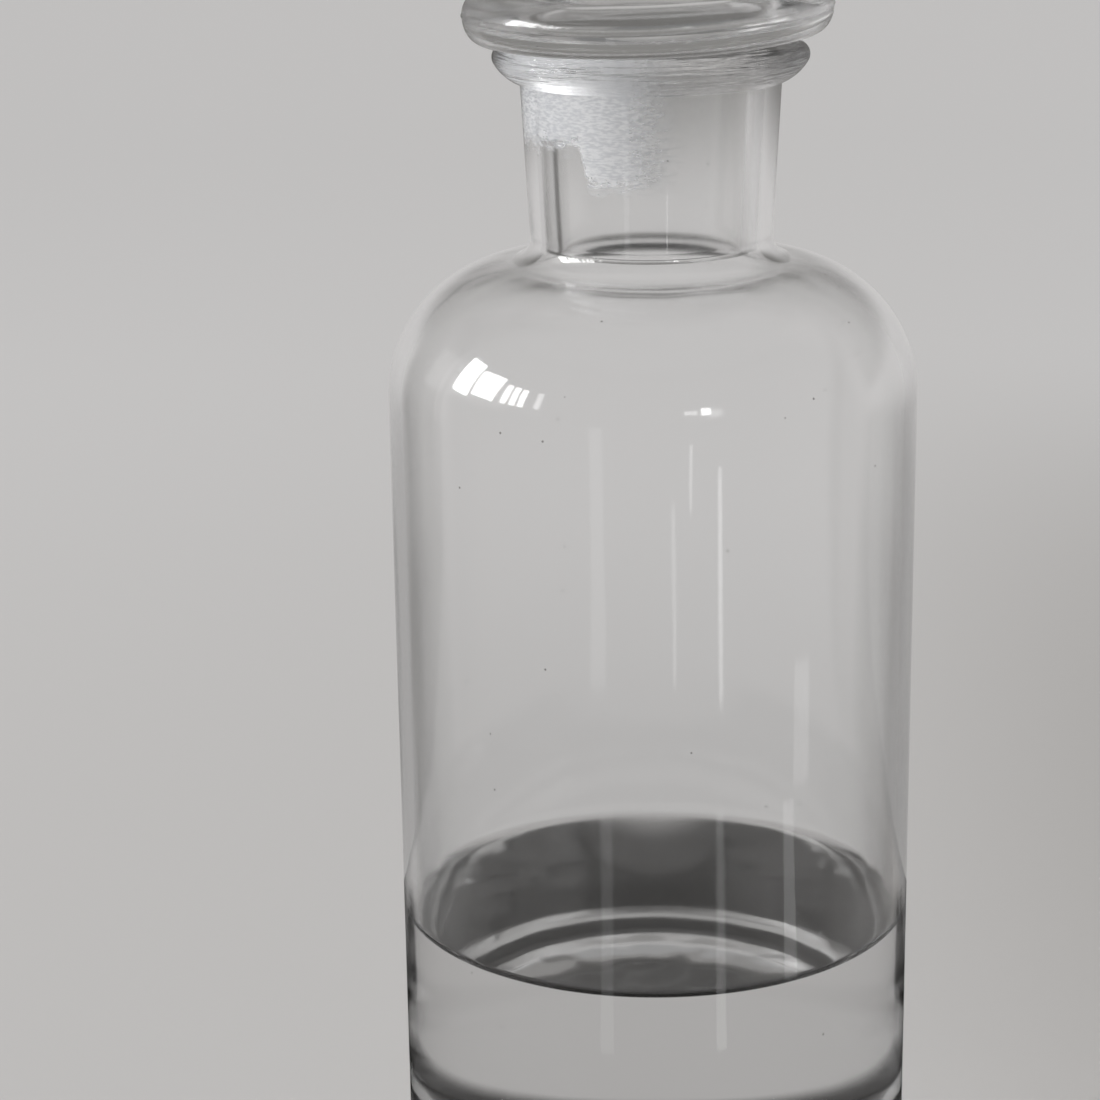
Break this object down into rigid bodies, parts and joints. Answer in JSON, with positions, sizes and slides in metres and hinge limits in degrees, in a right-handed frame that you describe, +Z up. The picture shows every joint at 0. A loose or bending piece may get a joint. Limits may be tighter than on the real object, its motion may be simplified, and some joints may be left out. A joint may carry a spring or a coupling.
{
  "type": "reagent bottle",
  "caption": "Clear glass reagent bottle with round shoulder, short wide neck and rounded lip, closed by a ground-in stopper with a disc head and partly filled with clear liquid.",
  "frame": {"origin": "centre of the flat ring that the bottle stands on", "axes": "+Z up the bottle's axis, from the base to the stopper"},
  "size_m": [0.105, 0.105, 0.2585],
  "materials": {
    "bottle_glass": "polished",
    "stopper_glass": "polished",
    "liquid": "polished"
  },
  "bodies": {
    "bottle": {"glass_bottle": "bottle_glass", "clear_liquid": "liquid"},
    "stopper": {"ground_stopper": "stopper_glass"}
  },
  "joints": [
    {"name": "stopper_lift", "type": "slide", "parent": "bottle", "child": "stopper", "axis": [0, 0, 1], "range_m": [0, 0.08]}
  ]
}
